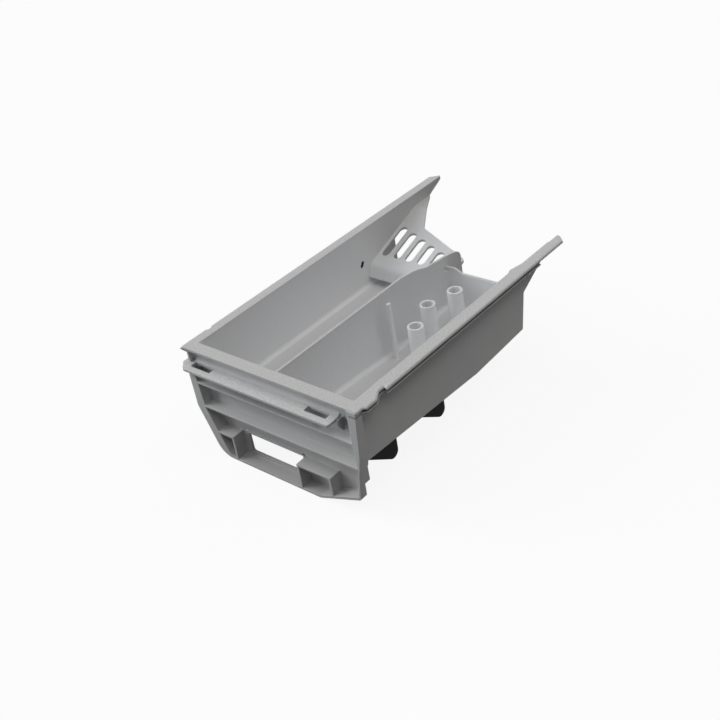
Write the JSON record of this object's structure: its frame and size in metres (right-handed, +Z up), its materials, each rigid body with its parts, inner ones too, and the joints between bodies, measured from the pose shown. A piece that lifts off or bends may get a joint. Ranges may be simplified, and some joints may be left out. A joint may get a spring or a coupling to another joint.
{
  "type": "detergent dispenser drawer",
  "caption": "Grey moulded detergent drawer with open compartments, a slotted outlet hood, stand tubes, side slide rails, a ribbed front plate and dark wedge feet.",
  "frame": {"origin": "middle of the rim's front top edge", "axes": "+X to the drawer's right seen from its front, +Y along the rails from front to rear, +Z up out of the compartments"},
  "size_m": [0.168, 0.301, 0.0894],
  "materials": {
    "drawer_grey": "matt moulded",
    "plug_dark": "matt",
    "foot_dark": "matt"
  },
  "bodies": {
    "root": {"drawer_body": "drawer_grey", "wall_plug": "plug_dark", "foot_front": "foot_dark", "foot_rear": "foot_dark"}
  },
  "joints": []
}
